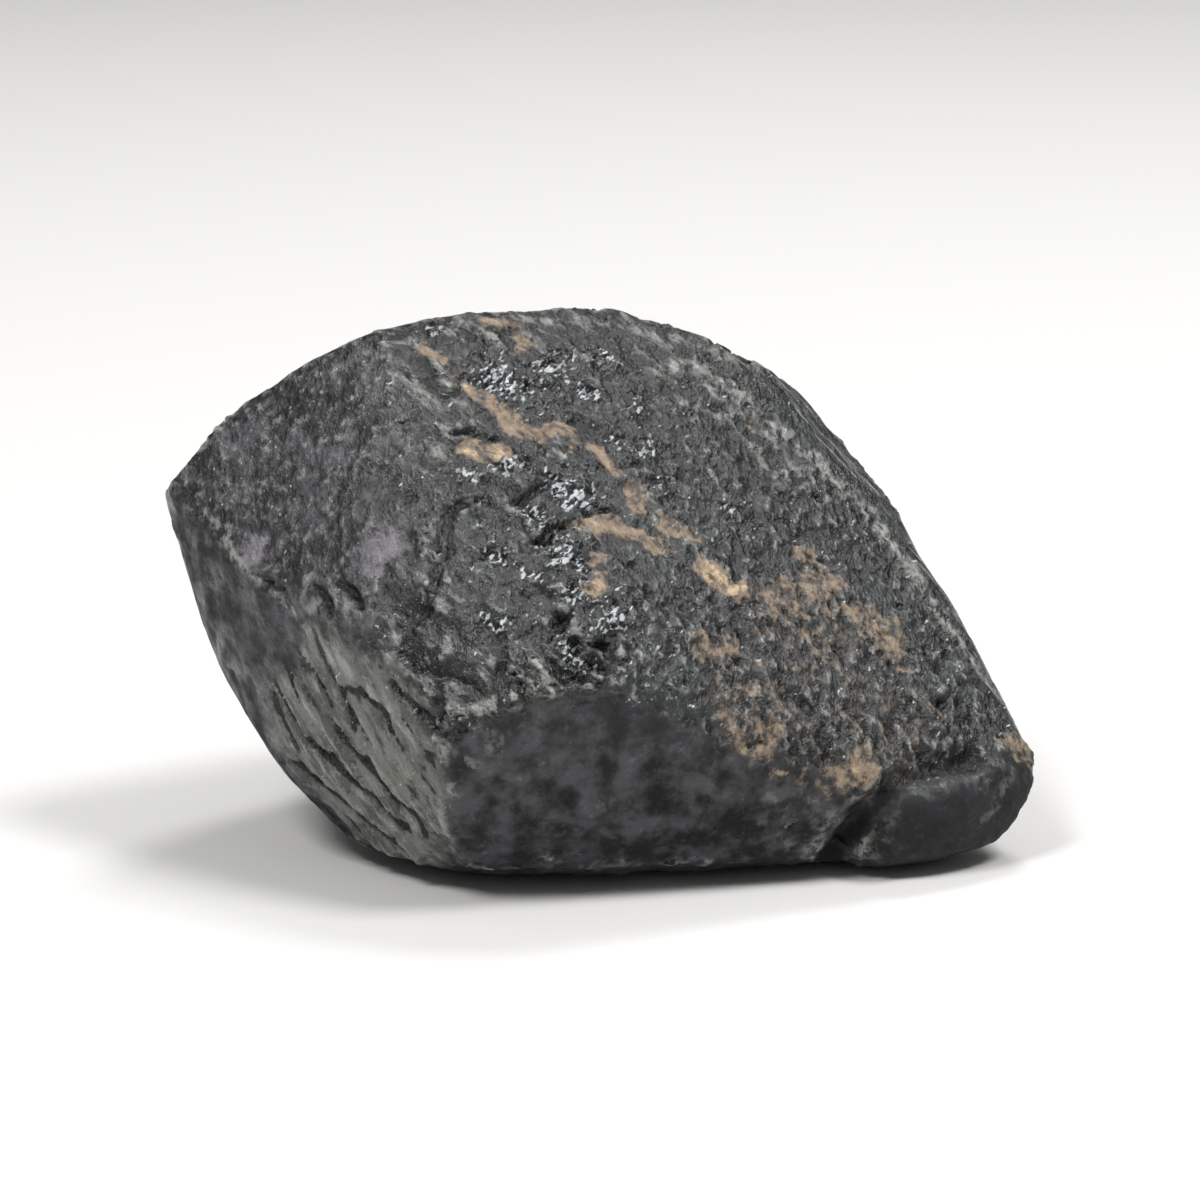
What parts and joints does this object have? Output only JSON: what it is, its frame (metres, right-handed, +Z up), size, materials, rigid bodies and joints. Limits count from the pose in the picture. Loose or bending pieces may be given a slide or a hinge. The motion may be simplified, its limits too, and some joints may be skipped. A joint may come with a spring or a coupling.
{
  "type": "rough black tourmaline stone",
  "caption": "Small lump of rough black tourmaline, bluntly faceted with worn edges, pits and iron stains, lying on its flat side.",
  "frame": {"origin": "on the resting plane, below the middle of the stone's box", "axes": "+X along the stone's length, to the right of a viewer of its best side; +Y away from that viewer; +Z up"},
  "size_m": [0.0404, 0.0268, 0.024],
  "materials": {
    "schorl": "broken, semi-vitreous with dull weathered patches"
  },
  "bodies": {
    "root": {"stone": "schorl"}
  },
  "joints": []
}
